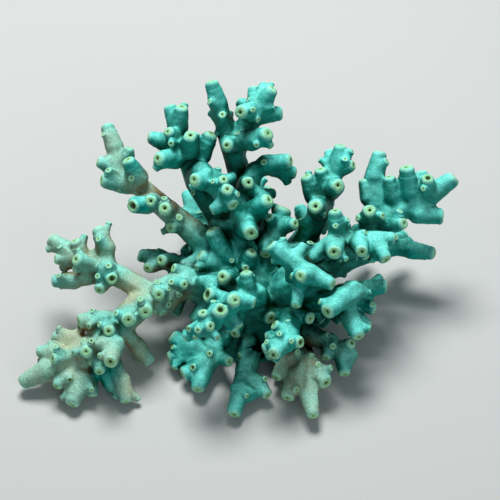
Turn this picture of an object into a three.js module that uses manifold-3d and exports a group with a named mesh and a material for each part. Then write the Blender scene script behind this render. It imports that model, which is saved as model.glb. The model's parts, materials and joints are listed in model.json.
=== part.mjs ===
// A colony of finger coral: a stony coral whose limbs rise from one foot and end in short open fingers.
// Units are millimetres and +Z is up. The origin is the centre of the flat cut under the foot.
//
// The colony grows towards the light on a face that leans back from upright. Limbs and fingers are laid out
// on that face: x runs across it, y up it and z out of it. The `face` group below leans it into place.
// On a bench the colony comes apart at its main forks: one trunk and its limbs, each its own solid.
import * as THREE from "three";
import { mergeVertices } from "three/addons/utils/BufferGeometryUtils.js";
import Module from "manifold-3d";

const wasm = await Module();
wasm.setup();

// ---- driving dimensions ----
const FACE_LEAN = THREE.MathUtils.degToRad(45); // how far the growing face leans back
const SAW_CUT = 0.3; // gap between two pieces at a fork
const LIMB_SIDES = 6; // corners round a limb's section
const FINGER_SIDES = 5; // corners round a finger's section
const LIMB_STEP = 12; // length of a limb's straight stretches
const LIMB_TAPER = 1.6; // above 1, a limb stays thick and narrows towards its tip
const FINGER_FLARE = 1.5; // a finger's root is this much thicker than its tip
const FINGER_LEAN = 0.8; // how far towards the limb's tip a finger leans, as a share of its reach
const FINGER_BOW = 0.15; // how far a finger bows away from its limb, as a share of its reach
const LONG_FINGER = 13; // a finger longer than this is bent once on its way
const ROOT_MARGIN = 0.7; // a finger's thick root keeps at least this far from its limb's saw cut
const TISSUE = { color: 0x4fbfae, roughness: 0.55, metalness: 0 };

// ---- the foot and trunk: a turned profile of [radius, height] ----
const TRUNK_PROFILE = [
  [0, 0],
  [16, 0],
  [15, 2.5],
  [11, 6],
  [9, 10],
  [8.5, 15],
  [5, 19],
  [0, 20],
];
const TRUNK_SIDES = 12;

// Fingers that stand on the trunk itself, between the limbs: [x, y, z, tip radius], all from one root.
const TRUNK_FINGER_ROOT = [-3, 12, 9];
const TRUNK_FINGERS = [
  [-14, 19, 13, 2.3],
  [-10.5, 26, 14, 2.3],
  [-7.5, 13, 19, 2.3],
  [-14, 11.5, 16.5, 2.0],
  [0.6, 20, 17.5, 1.8],
];

// ---- the limbs ----
// route: points on the limb's centre line, from inside its parent to its open tip
// thick: radius at the root and at the tip; sawn: length of the stump that stays on the parent
// fingers: [x, y, z, tip radius, lean], one for each large finger, given by the centre of its open tip
const LIMBS = [
  {
    name: "left_front_arm",
    parent: "trunk",
    route: [[-4, 8, 9], [-13, 11, 10], [-22, 10.5, 12], [-30, 5.5, 15], [-38, -2.5, 18], [-45, -8, 20],
      [-53, -11, 21], [-61.5, -15.5, 20]],
    thick: [4.8, 2.2],
    sawn: 14,
    fingers: [
      [-57.3, -7, 19, 1.8, 1.3], [-53.5, -3.5, 15, 2.0, 1.1], [-52.6, -8.5, 26, 1.8],
      [-43.6, -6.7, 28, 1.9, 0.3], [-39, -5, 27, 1.8, 0.2], [-34.7, -4.9, 27, 2.0, 0.1],
      [-36.7, -9.3, 32, 2.1, 0.4], [-40, -12.2, 26, 1.7, 0.4], [-47.6, -21, 25, 2.3, 0.5],
      [-51.5, -16.2, 25, 1.6, 0.7], [-42, -19, 22, 1.7, 0.1], [-36.4, -17.5, 21, 1.9, 0.1],
      [-33, -20.3, 24, 1.8, 0.3], [-46.2, 1.2, 20, 2.2, 0.9], [-37.6, -1.2, 26, 1.8, 0.3],
      [-32.3, 1.7, 27, 2.2, 0.3], [-27.7, 3.8, 26, 2.2, 0.2], [-24.5, 8.3, 21, 2.0, 0.2],
      [-27, -10.4, 15, 1.8, 0.1], [-23.3, 3, 15, 1.7, 0.1], [-17.5, 11, 18, 1.6, 0.1],
    ],
  },
  {
    name: "left_mid_arm",
    parent: "left_front_arm",
    route: [[-27, 8, 13.5], [-33, 12, 13], [-39, 14.3, 12], [-45, 17, 11], [-50, 20.3, 10], [-55, 23.5, 9]],
    thick: [3.5, 2.0],
    sawn: 9,
    fingers: [
      [-47.8, 23, 13, 1.7], [-53, 18, 14, 1.6], [-47, 17.8, 19, 1.9, 0.5], [-54, 11.9, 13, 1.8, 1.2],
      [-39, 15.8, 19, 2.2, 0.3], [-41.8, 26.6, 12, 1.9, 1.3], [-37, 12.5, 20, 1.8, 0.2],
      [-40.8, 9.4, 18, 1.7, 0.6],
    ],
  },
  {
    name: "left_back_arm",
    parent: "trunk",
    route: [[-4, 9, 6], [-13, 14, 4], [-22, 17.5, 3], [-31, 19, 3]],
    thick: [3.4, 1.9],
    sawn: 13,
    fingers: [[-28.3, 15.2, 9, 1.8, 0.5], [-24.5, 17.5, 10, 1.8, 0.4]],
  },
  {
    name: "left_high_arm",
    parent: "trunk",
    route: [[-3, 13, 9], [-10.5, 20.5, 6], [-17, 26.5, 5.5], [-24, 32.5, 5], [-31, 37.5, 6], [-35.5, 43, 6],
      [-37.5, 49, 5], [-39.7, 55, 4]],
    thick: [4.0, 2.0],
    sawn: 18,
    fingers: [
      [-42, 44.8, 7, 1.8, 0.5], [-40.8, 39.5, 9, 2.3, 0.5], [-33.4, 45, 13, 2.0, 1.2],
      [-33, 48.5, 8, 1.6, 1.0], [-32, 32.2, 16, 2.0, 0.4], [-27, 33.6, 15, 1.9, 0.2],
      [-23.3, 31.5, 14, 2.1, 0.1], [-22, 26.3, 10, 1.9, 0.1],
    ],
  },
  {
    name: "crown_left_arm",
    parent: "trunk",
    route: [[-2, 14, 8], [-5, 22, 1], [-9.5, 31, 0], [-15, 39, 3], [-18, 47, 5], [-20, 53.5, 6],
      [-22.3, 60.3, 6]],
    thick: [4.2, 1.9],
    sawn: 20,
    fingers: [
      [-18.6, 59.6, 10, 1.9, 0.9], [-22.4, 52.8, 12, 1.7, 0.6], [-16.2, 51.5, 15, 2.0, 0.6],
      [-10.5, 52.4, 9, 2.1, 0.8], [-28, 51.6, 7, 1.9, 0.6], [-25.2, 45, 15, 2.2, 0.2],
    ],
  },
  {
    name: "crown_front_arm",
    parent: "crown_left_arm",
    route: [[-15, 40, 4], [-13, 41.3, 10], [-9, 38, 15], [-4.3, 32.1, 21]],
    thick: [3.6, 2.0],
    sawn: 6,
    fingers: [
      [-7, 39.4, 21, 1.7, 0.2], [-6, 36.6, 23, 1.9, 0.3], [-12, 41.6, 18, 1.6, 0.1],
      [-15.2, 39, 20, 2.2, 0.1],
    ],
  },
  {
    name: "crown_mid_arm",
    parent: "trunk",
    route: [[0, 15, 7], [1, 23, 0], [0, 32, -2], [-3, 42, 1], [-5.5, 50, 5], [-8, 58, 9], [-10.6, 66.4, 12]],
    thick: [4.2, 2.0],
    sawn: 15.5,
    fingers: [[5, 51.8, 17, 2.2, 0.3], [-6.2, 48.6, 15, 1.9, 0.3]],
  },
  {
    name: "crown_right_arm",
    parent: "crown_mid_arm",
    route: [[-5, 47, 3], [-1, 54, 7], [2, 59, 9], [6.4, 64.4, 12]],
    thick: [3.6, 2.0],
    sawn: 10,
    fingers: [
      [-3.2, 61.3, 6, 1.7, 0.5], [0.9, 65.2, 9, 1.7, 0.6], [4, 66, 6, 1.6, 0.4], [9, 57.8, 8, 2.1, 0.8],
      [-2.6, 57.6, 17, 2.1, 0.3],
    ],
  },
  {
    name: "heart_high_arm",
    parent: "trunk",
    route: [[-1, 13, 11], [-2, 22, 10], [-2.5, 30, 8], [-1.5, 38, 6], [3, 43.5, 7], [11.3, 44.7, 10]],
    thick: [3.9, 2.2],
    sawn: 9.5,
    fingers: [
      [5.2, 34, 17, 2.3, 0.2], [0.3, 24.7, 20, 2.3, 0.1], [12.8, 41.4, 5, 1.9, 1.0],
      [-0.5, 38.6, 14, 1.9, 0.1],
    ],
  },
  {
    name: "right_inner_arm",
    parent: "trunk",
    route: [[3, 12, 9], [5, 19, 9], [7, 26, 8], [9.3, 32, 9]],
    thick: [4.2, 2.6],
    sawn: 10,
    fingers: [[5, 29.5, 13, 1.6, 0.5], [12.5, 27.5, 13, 1.8, 0.5]],
  },
  {
    name: "right_back_arm",
    parent: "trunk",
    route: [[5, 11, 6], [12, 18, 1], [17, 26, 2], [21, 34.5, 5], [23.7, 42, 7], [24.9, 49.2, 8]],
    thick: [4.0, 1.9],
    sawn: 15,
    fingers: [
      [21.9, 48, 4, 1.7, 1.1], [28.4, 43.7, 10, 1.7, 0.4], [19.2, 42.6, 9, 1.9, 1.0],
      [15.4, 40.8, 8, 1.9, 0.9], [24, 37.7, 15, 2.2, 0.3], [17.6, 32.2, 17, 2.3, 0.2],
    ],
  },
  {
    name: "right_high_arm",
    parent: "trunk",
    route: [[7, 9, 7], [17, 14, 7], [27, 21, 7], [34, 27.5, 8], [41, 31.5, 8], [48, 34.5, 8],
      [56.2, 40.3, 9]],
    thick: [4.4, 2.3],
    sawn: 15,
    fingers: [
      [35.6, 47.4, 9, 2.1, 0.5], [31, 39.8, 9, 1.6, 0.2], [38, 40.4, 12, 1.7, 0.2], [42.5, 43, 13, 2.2, 0.2],
      [47, 42, 6, 2.0, 0.4], [48.3, 40, 14, 1.9, 0.4], [53, 29.5, 9, 2.1, 1.1], [41.8, 27.6, 17, 1.9, 0.7],
      [32.3, 31.2, 17, 2.1, 0.2],
    ],
  },
  {
    name: "right_mid_arm",
    parent: "trunk",
    route: [[6, 9, 11], [13, 16, 14], [20, 21, 17], [28, 22.8, 19], [39, 23.4, 20]],
    thick: [3.7, 1.9],
    sawn: 14,
    fingers: [
      [36.4, 17.6, 24, 2.0, 0.4], [29.6, 19.8, 28, 1.9, 0.1], [22.2, 19.6, 30, 2.2, 0.1],
      [22.7, 31, 23, 1.9, 0.1],
    ],
  },
  {
    name: "heart_arm",
    parent: "trunk",
    route: [[6, 7, 12], [12, 9.5, 18], [16.5, 12.5, 24], [16, 13.5, 29], [13, 13.5, 34]],
    thick: [3.7, 2.0],
    sawn: 12.5,
    fingers: [[5.3, 21.6, 28, 1.9, 0.5]],
  },
  {
    name: "front_left_arm",
    parent: "trunk",
    route: [[2, 6, 11], [2, 8, 19], [-3, 6.8, 25], [-8, 3.5, 31], [-13.2, -1, 38]],
    thick: [3.9, 2.1],
    sawn: 9,
    fingers: [
      [-11.4, 8.6, 31, 2.2, 0.6], [-4, 7.4, 37, 2.2, 0.3], [-7.5, 4.9, 40, 2.3, 0.2],
      [-12.4, 4.2, 39, 1.6, 0.3], [-10, 0.6, 40, 1.6, 0.2], [-17.4, -3, 32, 1.6, 0.7],
      [-1, 14.6, 25, 1.9, 0.1], [-2.8, -0.2, 30, 1.7, 0.1],
    ],
  },
  {
    name: "front_mid_arm",
    parent: "trunk",
    route: [[4, 2, 9], [9.5, 2, 15], [11.5, 0.8, 22], [9.7, -3, 29], [6, -7, 36]],
    thick: [3.8, 2.1],
    sawn: 11,
    fingers: [
      [3.4, -6, 32, 1.9, 0.5], [13.4, -4, 33, 1.8, 0.2], [4, -3, 27, 1.7, 0.3], [6.2, 0.6, 28, 1.7, 0.1],
    ],
  },
  {
    name: "front_right_arm",
    parent: "trunk",
    route: [[6, 5, 9], [14, 6.5, 14], [20, 8, 18], [24.5, 10.5, 21], [29.8, 9.6, 26]],
    thick: [3.5, 2.0],
    sawn: 15,
    fingers: [[20, 4, 33, 2.3, 0.1], [29, -2.8, 28, 2.0, 0.6], [26.3, 3.4, 22, 1.8, 0.3]],
  },
  {
    name: "right_low_arm",
    parent: "trunk",
    route: [[5, 2, 5], [14, 4, 7], [24, 8, 8], [37.5, 10.6, 10]],
    thick: [3.4, 2.0],
    sawn: 14,
    fingers: [[34.3, 3.8, 10, 1.9, 0.9], [32.5, -0.8, 13, 2.0, 0.8]],
  },
  {
    name: "right_rear_arm",
    parent: "trunk",
    route: [[7, 8, 3], [18, 13, -1], [29, 18, -4], [40, 21, -3], [51.5, 19.3, 0]],
    thick: [3.6, 2.0],
    sawn: 14,
    fingers: [[44, 24.5, -9, 1.8, 0.8], [33, 24, -11, 1.8, 0.6]],
  },
  {
    name: "low_right_arm",
    parent: "trunk",
    route: [[4, 0, 5], [11, -1, 10], [18, -3, 14], [23, -5.5, 17], [28.5, -8.6, 20]],
    thick: [3.6, 1.8],
    sawn: 13,
    fingers: [[25.4, -13.2, 21, 1.9, 0.6], [27.3, -4.5, 22, 1.7, 0.5], [20.3, -9, 19, 1.7, 0.3]],
  },
  {
    name: "low_front_arm",
    parent: "trunk",
    route: [[3, -1, 8], [9, -5, 14], [14, -9, 19], [17.5, -12, 23], [20.3, -15, 27]],
    thick: [3.9, 2.3],
    sawn: 11,
    fingers: [[16.7, -23.6, 30, 1.9, 0.8], [9.8, -19.2, 25, 2.1, 0.5], [6.8, -14, 22, 1.9, 0.3]],
  },
  {
    name: "low_mid_arm",
    parent: "trunk",
    route: [[0, -2, 8], [0, -7, 13], [-1, -12, 18], [-4.4, -23.4, 28]],
    thick: [3.5, 1.9],
    sawn: 9,
    fingers: [[-5, -17.4, 23, 1.9, 0.6], [1, -18.6, 25, 2.1, 0.5], [4.8, -18.6, 23.5, 1.8, 0.6]],
  },
  {
    name: "low_left_arm",
    parent: "trunk",
    route: [[-3, -1, 6], [-8, -4, 11], [-12, -8.5, 15], [-14, -17.3, 22]],
    thick: [3.6, 2.0],
    sawn: 10,
    fingers: [[-18.3, -13.2, 19, 2.2, 0.5], [-21.5, -3, 15, 2.2, 0.6], [-22.3, -9, 15, 2.0, 0.8]],
  },
  {
    name: "back_left_arm",
    parent: "trunk",
    route: [[-4, 11, 5], [-10, 20, -4], [-15, 29, -11], [-18, 37, -16]],
    thick: [3.7, 1.9],
    sawn: 14,
    fingers: [[-23, 31, -12, 1.9, 0.6]],
  },
  {
    name: "back_mid_arm",
    parent: "trunk",
    route: [[0, 12, 4], [0, 22, -7], [1, 32, -14], [2, 41, -19]],
    thick: [3.8, 1.9],
    sawn: 14,
    fingers: [[-4, 39, -20, 1.9, 0.6], [6, 38, -12, 1.9, 0.6]],
  },
  {
    name: "back_right_arm",
    parent: "trunk",
    route: [[4, 11, 4], [11, 19, -5], [17, 27, -11], [23, 34.5, -16]],
    thick: [3.6, 1.9],
    sawn: 14,
    fingers: [[24, 28, -16, 1.8, 0.6], [14, 33, -14, 1.9, 0.6]],
  },
];

// ---- solids ----

// A closed three.js geometry as a manifold-3d solid.
function solidOf(geometry) {
  geometry.deleteAttribute("normal");
  geometry.deleteAttribute("uv");
  const merged = mergeVertices(geometry, 1e-4);
  return new wasm.Manifold(
    new wasm.Mesh({
      numProp: 3,
      vertProperties: new Float32Array(merged.attributes.position.array),
      triVerts: new Uint32Array(merged.index.array),
    }),
  );
}

// A manifold-3d solid as a three.js geometry with flat faces.
function geometryOf(solid) {
  const mesh = solid.getMesh();
  const geometry = new THREE.BufferGeometry();
  geometry.setAttribute("position", new THREE.BufferAttribute(new Float32Array(mesh.vertProperties), 3));
  geometry.setIndex(new THREE.BufferAttribute(new Uint32Array(mesh.triVerts), 1));
  const flat = geometry.toNonIndexed();
  flat.computeVertexNormals();
  return flat;
}

// The stretch of a curve between two shares of its length.
class Stretch extends THREE.Curve {
  constructor(whole, from, to) {
    super();
    this.whole = whole;
    this.from = from;
    this.to = to;
  }

  getPoint(t, spot = new THREE.Vector3()) {
    const share = THREE.MathUtils.lerp(this.from, this.to, t);
    return this.whole.getPointAt(Math.min(share, 1), spot);
  }
}

// A cylinder bent along a curve, with radiusAt(share of its length) as its radius.
function bentRod(curve, radiusAt, sides, steps) {
  const rod = new THREE.CylinderGeometry(1, 1, 1, sides, steps);
  const frames = curve.computeFrenetFrames(steps);
  const points = rod.attributes.position;
  const spot = new THREE.Vector3();
  for (let i = 0; i < points.count; i++) {
    const ring = Math.round((points.getY(i) + 0.5) * steps);
    const radius = radiusAt(ring / steps);
    curve.getPointAt(ring / steps, spot);
    spot.addScaledVector(frames.binormals[ring], points.getX(i) * radius);
    spot.addScaledVector(frames.normals[ring], points.getZ(i) * radius);
    points.setXYZ(i, spot.x, spot.y, spot.z);
  }
  return solidOf(rod);
}

const centreLines = new Map(
  LIMBS.map((limb) => [
    limb.name,
    new THREE.CatmullRomCurve3(limb.route.map((p) => new THREE.Vector3(...p)), false, "centripetal"),
  ]),
);

// The stretch of a limb's rod between two distances from the start of its route.
function limbStretch(limb, from, to) {
  const line = centreLines.get(limb.name);
  const length = line.getLength();
  const [root, tip] = limb.thick;
  const steps = Math.max(1, Math.round((to - from) / LIMB_STEP));
  const radiusAt = (share) => {
    const along = (from + (to - from) * share) / length;
    return THREE.MathUtils.lerp(root, tip, along ** LIMB_TAPER);
  };
  return bentRod(new Stretch(line, from / length, to / length), radiusAt, LIMB_SIDES, steps);
}

// Where a finger with this tip leaves its limb: at the point nearest to the tip, moved back towards the root.
function fingerRoot(limb, tip, radius, lean) {
  const line = centreLines.get(limb.name);
  const length = line.getLength();
  const SAMPLES = 200;
  let nearest = 1;
  let reach = Infinity;
  for (let i = 0; i <= SAMPLES; i++) {
    const away = line.getPointAt(i / SAMPLES).distanceTo(tip);
    if (away < reach) {
      reach = away;
      nearest = i / SAMPLES;
    }
  }
  const first = (limb.sawn + SAW_CUT + radius * FINGER_FLARE + ROOT_MARGIN) / length;
  return Math.min(Math.max(nearest - (lean * reach) / length, first), 0.97);
}

// A finger's rod along a curve: it narrows to its open tip.
function fingerRod(curve, tipRadius) {
  const steps = curve.getLength() > LONG_FINGER ? 2 : 1;
  const radiusAt = (share) => tipRadius * THREE.MathUtils.lerp(FINGER_FLARE, 1, share);
  return bentRod(curve, radiusAt, FINGER_SIDES, steps);
}

// One finger: a rod from the limb's centre line to its tip, bowed a little away from the limb.
function finger(limb, [x, y, z, radius, lean = FINGER_LEAN]) {
  const line = centreLines.get(limb.name);
  const tip = new THREE.Vector3(x, y, z);
  const share = fingerRoot(limb, tip, radius, lean);
  const root = line.getPointAt(share);
  const along = line.getTangentAt(share);
  const reach = tip.clone().sub(root);
  const outward = reach.clone().addScaledVector(along, -reach.dot(along));
  const middle = root.clone().addScaledVector(reach, 0.5).addScaledVector(outward, FINGER_BOW);
  return fingerRod(new THREE.QuadraticBezierCurve3(root, middle, tip), radius);
}

function trunkSolid() {
  const profile = TRUNK_PROFILE.map(([radius, height]) => new THREE.Vector2(radius, height));
  const turned = new THREE.LatheGeometry(profile, TRUNK_SIDES);
  turned.rotateX(Math.PI / 2); // the lathe turns about Y, and the trunk stands along Z
  turned.rotateX(-FACE_LEAN); // into the face's own frame
  let solid = solidOf(turned);
  for (const [x, y, z, radius] of TRUNK_FINGERS) {
    const curve = new THREE.LineCurve3(new THREE.Vector3(...TRUNK_FINGER_ROOT), new THREE.Vector3(x, y, z));
    solid = solid.add(fingerRod(curve, radius));
  }
  return solid;
}

// ---- the colony ----

const solids = new Map([["trunk", trunkSolid()]]);
for (const limb of LIMBS) {
  const length = centreLines.get(limb.name).getLength();
  solids.set(
    limb.parent,
    solids.get(limb.parent).add(limbStretch(limb, 0, limb.sawn)),
  );
  let solid = limbStretch(limb, limb.sawn + SAW_CUT, length);
  for (const spec of limb.fingers) solid = solid.add(finger(limb, spec));
  solids.set(limb.name, solid);
}

const face = new THREE.Group();
face.rotation.x = FACE_LEAN;
for (const [name, solid] of solids) {
  const mesh = new THREE.Mesh(geometryOf(solid), new THREE.MeshStandardMaterial(TISSUE));
  mesh.name = name;
  face.add(mesh);
}

const colony = new THREE.Group();
colony.add(face);

export default colony;
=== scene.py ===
# %% [markdown]
# # A colony of finger coral
# A stony coral colony is a limestone skeleton under a thin living skin. Its limbs fork and fork again, and
# every finger on them ends in a round mouth where one polyp lives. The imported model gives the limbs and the
# large fingers as faceted rods. This lesson grows the real surface round them: one fused, rounded body,
# small buds between the fingers, a fine mouth on every tip, and a coloured, grainy skin.

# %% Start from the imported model
import json
import math

import bpy
import numpy as np
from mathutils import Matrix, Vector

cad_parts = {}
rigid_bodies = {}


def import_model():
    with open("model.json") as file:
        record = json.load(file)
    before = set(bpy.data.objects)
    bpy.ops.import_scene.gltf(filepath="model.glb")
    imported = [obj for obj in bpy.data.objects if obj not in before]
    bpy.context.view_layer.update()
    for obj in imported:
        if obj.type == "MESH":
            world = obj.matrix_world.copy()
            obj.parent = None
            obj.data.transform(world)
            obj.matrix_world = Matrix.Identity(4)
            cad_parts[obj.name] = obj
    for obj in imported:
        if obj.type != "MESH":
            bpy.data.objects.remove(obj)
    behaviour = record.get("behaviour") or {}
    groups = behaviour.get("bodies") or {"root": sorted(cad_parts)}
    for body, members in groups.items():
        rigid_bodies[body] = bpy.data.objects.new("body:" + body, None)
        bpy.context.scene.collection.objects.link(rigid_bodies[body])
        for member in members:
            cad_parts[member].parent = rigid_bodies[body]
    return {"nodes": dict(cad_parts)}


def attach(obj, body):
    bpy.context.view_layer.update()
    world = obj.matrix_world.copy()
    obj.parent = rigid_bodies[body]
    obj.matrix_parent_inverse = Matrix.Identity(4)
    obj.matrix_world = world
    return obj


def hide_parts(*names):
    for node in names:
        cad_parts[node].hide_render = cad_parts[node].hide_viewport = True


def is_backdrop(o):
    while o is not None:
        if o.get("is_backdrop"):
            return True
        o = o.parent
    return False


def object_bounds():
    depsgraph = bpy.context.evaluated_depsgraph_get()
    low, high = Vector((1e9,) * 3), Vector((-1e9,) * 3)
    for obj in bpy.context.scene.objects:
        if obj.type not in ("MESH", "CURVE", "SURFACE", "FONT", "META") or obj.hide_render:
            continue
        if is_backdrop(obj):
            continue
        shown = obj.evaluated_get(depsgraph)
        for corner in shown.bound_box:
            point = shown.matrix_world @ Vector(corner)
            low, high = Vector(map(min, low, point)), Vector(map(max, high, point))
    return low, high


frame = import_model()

import openvdb as vdb

cad_box = [np.array(corner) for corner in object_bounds()]
cad_low, cad_high = cad_box
rng = np.random.default_rng(7)
print("nodes:", len(frame["nodes"]), "size in mm:", np.round((cad_high - cad_low) * 1000, 1))

# %% [markdown]
# ## Camera
# The colony is seen from above and in front, at 45 degrees, through a long lens. A long lens from far away
# keeps the near fingers from looking swollen, and its small angle keeps all of the colony at a true scale.
# The camera aims at the middle of the colony's leaning face, so its place comes from the model's box.

# %% Place the camera
CAMERA_TILT = math.radians(45)
LENS = 0.150
SENSOR = 0.036
FIELD = 0.135  # width of the view, measured at the aim
AIM_HEIGHT = 0.467  # how far up the colony the camera aims

aim = np.array([0.0, (cad_low[1] + cad_high[1]) / 2, AIM_HEIGHT * cad_high[2]])
distance = FIELD * LENS / SENSOR
to_camera = np.array([0.0, -math.cos(CAMERA_TILT), math.sin(CAMERA_TILT)])

camera_data = bpy.data.cameras.new("camera")
camera_data.lens = LENS * 1000
camera_data.sensor_width = SENSOR * 1000
camera = bpy.data.objects.new("camera", camera_data)
camera.location = aim + to_camera * distance
camera.rotation_euler = (math.pi / 2 - CAMERA_TILT, 0, 0)
bpy.context.scene.collection.objects.link(camera)
bpy.context.scene.camera = camera
print("camera at", np.round(camera.location, 3), "aimed at", np.round(aim, 4))

# %% [markdown]
# ## Studio
# A plain pale floor, one broad soft light above and behind the top of the view, and a weaker one from the
# front. The upper light rakes down over the fingers and leaves their undersides dim, which is what makes the
# round forms read. The floor is marked as stage, because it isn't part of the coral.

# %% Floor and lights
FLOOR_SIZE = 3.0
floor_mesh = bpy.data.meshes.new("floor")
half = FLOOR_SIZE / 2
floor_corners = [(-half, -half, 0), (half, -half, 0), (half, half, 0), (-half, half, 0)]
floor_mesh.from_pydata(floor_corners, [], [(0, 1, 2, 3)])
floor = bpy.data.objects.new("floor", floor_mesh)
bpy.context.scene.collection.objects.link(floor)
floor_paint = bpy.data.materials.new("floor_paper")
floor_paint.use_nodes = True
floor_shader = floor_paint.node_tree.nodes["Principled BSDF"]
floor_shader.inputs["Base Color"].default_value = (0.50, 0.52, 0.52, 1)
floor_shader.inputs["Roughness"].default_value = 0.9
floor_mesh.materials.append(floor_paint)
floor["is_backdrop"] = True


def soft_light(name, place, size, power, colour):
    """An area light that looks at the middle of the colony."""
    data = bpy.data.lights.new(name, "AREA")
    data.size = size
    data.energy = power
    data.color = colour
    light = bpy.data.objects.new(name, data)
    light.location = place
    direction = light.location.copy()
    direction.x -= aim[0]
    direction.y -= aim[1]
    direction.z -= aim[2]
    light.rotation_euler = direction.to_track_quat("Z", "Y").to_euler()
    bpy.context.scene.collection.objects.link(light)


soft_light("key", place=(-0.06, 0.24, 0.58), size=0.24, power=4.9, colour=(1.0, 0.99, 0.97))
soft_light("front", place=(0.3, -0.75, 0.42), size=0.5, power=1.6, colour=(0.93, 0.98, 1.0))

world = bpy.data.worlds.new("studio")
world.use_nodes = True
sky = world.node_tree.nodes["Background"]
sky.inputs["Color"].default_value = (0.75, 0.85, 0.88, 1)
sky.inputs["Strength"].default_value = 0.2
bpy.context.scene.world = world
bpy.context.scene.view_settings.view_transform = "Standard"
print("floor in m:", FLOOR_SIZE, "materials:", [material.name for material in floor_mesh.materials])

# %% [markdown]
# ## Reading the faceted rods
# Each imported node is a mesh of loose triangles. Merging the points that share a place gives a closed shell
# with real neighbours, and the rest of the lesson can ask which triangles touch. Everything here is done on
# whole arrays, in millimetres, which are kinder numbers for a small thing than metres.

# %% Merge each node's triangles into a shell
MM = 0.001


def node_shell(node):
    """A node's points in millimetres and its triangles, with points that share a place merged."""
    mesh = node.data
    mesh.calc_loop_triangles()
    points = np.empty(len(mesh.vertices) * 3)
    mesh.vertices.foreach_get("co", points)
    points = points.reshape(-1, 3) / MM
    triangles = np.empty(len(mesh.loop_triangles) * 3, np.int64)
    mesh.loop_triangles.foreach_get("vertices", triangles)
    _, first, inverse = np.unique(np.round(points, 3), axis=0, return_index=True, return_inverse=True)
    triangles = inverse.reshape(-1)[triangles].reshape(-1, 3)
    whole = (triangles != np.roll(triangles, 1, axis=1)).all(axis=1)
    return points[first], triangles[whole]


names = sorted(frame["nodes"])
shells = [node_shell(frame["nodes"][name]) for name in names]
print("triangles in all:", sum(len(triangles) for _, triangles in shells))

# %% [markdown]
# ## Finding the tips
# A rod ends in a flat face. A patch of triangles that lie in one plane, and whose outline keeps one distance
# from its centre, is such an end. Two ends that face each other across the thin saw cut at a fork aren't
# tips: they are one limb. Patches are found by giving each triangle its own number and letting neighbours in
# the same plane take the smaller number until nothing changes.

# %% Find flat round ends
FACET_TURN = 0.9998  # cosine of the largest turn between triangles of one flat face
FEWEST, MOST = 5, 7  # points on a round end, its middle counted
MIDDLE = 0.3  # a point closer in than this share of the reach is the end's middle
EVEN = 0.93  # the nearest corner's share of the farthest corner's distance
WIDEST_END = 6.0  # radius, in millimetres


def spread_labels(count, pairs):
    """Number the groups that the pairs join: each member takes the smallest number in its group."""
    label = np.arange(count)
    while True:
        smallest = np.minimum(label[pairs[:, 0]], label[pairs[:, 1]])
        grown = label.copy()
        np.minimum.at(grown, pairs[:, 0], smallest)
        np.minimum.at(grown, pairs[:, 1], smallest)
        grown = grown[grown]
        if (grown == label).all():
            return label
        label = grown


def edge_table(faces):
    """Every face's edges as sorted point pairs, with the face that each belongs to."""
    sides = faces.shape[1]
    edges = np.stack([faces, np.roll(faces, -1, axis=1)], axis=2).reshape(-1, 2)
    return np.sort(edges, axis=1), np.repeat(np.arange(len(faces)), sides)


def neighbour_faces(faces):
    """Pairs of faces that share an edge."""
    edges, owner = edge_table(faces)
    order = np.lexsort((edges[:, 1], edges[:, 0]))
    edges, owner = edges[order], owner[order]
    same = (edges[1:] == edges[:-1]).all(axis=1)
    return np.stack([owner[:-1][same], owner[1:][same]], axis=1)


def round_ends(points, triangles):
    """Centre, outward axis and radius of each flat end whose outline has five or six corners."""
    corners = points[triangles]
    normal = np.cross(corners[:, 1] - corners[:, 0], corners[:, 2] - corners[:, 0])
    area = np.linalg.norm(normal, axis=1)
    normal /= np.maximum(area, 1e-12)[:, None]
    pairs = neighbour_faces(triangles)
    flat = (normal[pairs[:, 0]] * normal[pairs[:, 1]]).sum(axis=1) > FACET_TURN
    label = spread_labels(len(triangles), pairs[flat])
    ends = []
    for patch in np.unique(label):
        members = np.flatnonzero(label == patch)
        outline = points[np.unique(triangles[members])]
        if not FEWEST <= len(outline) <= MOST:
            continue
        weight = area[members]
        centre = (corners[members].mean(axis=1) * weight[:, None]).sum(axis=0) / weight.sum()
        reach = np.linalg.norm(outline - centre, axis=1)
        rim = reach[reach > MIDDLE * reach.max()]
        if len(rim) >= FEWEST and rim.min() > EVEN * rim.max() and rim.max() < WIDEST_END:
            ends.append((*centre, *normal[members[0]], rim.max()))
    return np.array(ends)


ends = np.concatenate([round_ends(*shell) for shell in shells])
print("flat round ends:", len(ends))

# %% [markdown]
# ## A volume of distances
# The forks of a coral are rounded webs of limestone, and no sheet of two parameters can branch. So the body
# is made another way: as a volume. Every small cell of space holds its distance to the nearest rod, below
# zero inside. Joining two shapes is then a minimum, and rounding them is a blur. Each shell gets its own
# window of distances first, and the windows also say which limb a place belongs to.

# %% Fill the volume from the shells
CELL = 0.36  # edge of one cell, in millimetres
BAND = 6  # cells on each side of a surface that hold a true distance
REACH = CELL * BAND
SPARE = 2  # empty cells beyond the band

grid_low = np.floor(cad_low / MM / CELL).astype(int) - BAND - SPARE
grid_high = np.ceil(cad_high / MM / CELL).astype(int) + BAND + SPARE + 1
field = np.full(grid_high - grid_low, REACH, np.float32)
owner = np.zeros(field.shape, np.int16)


def window_slices(start, shape):
    """Where a window that starts at a cell lies in the whole volume."""
    return tuple(slice(a, a + n) for a, n in zip(start - grid_low, shape))


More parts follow.
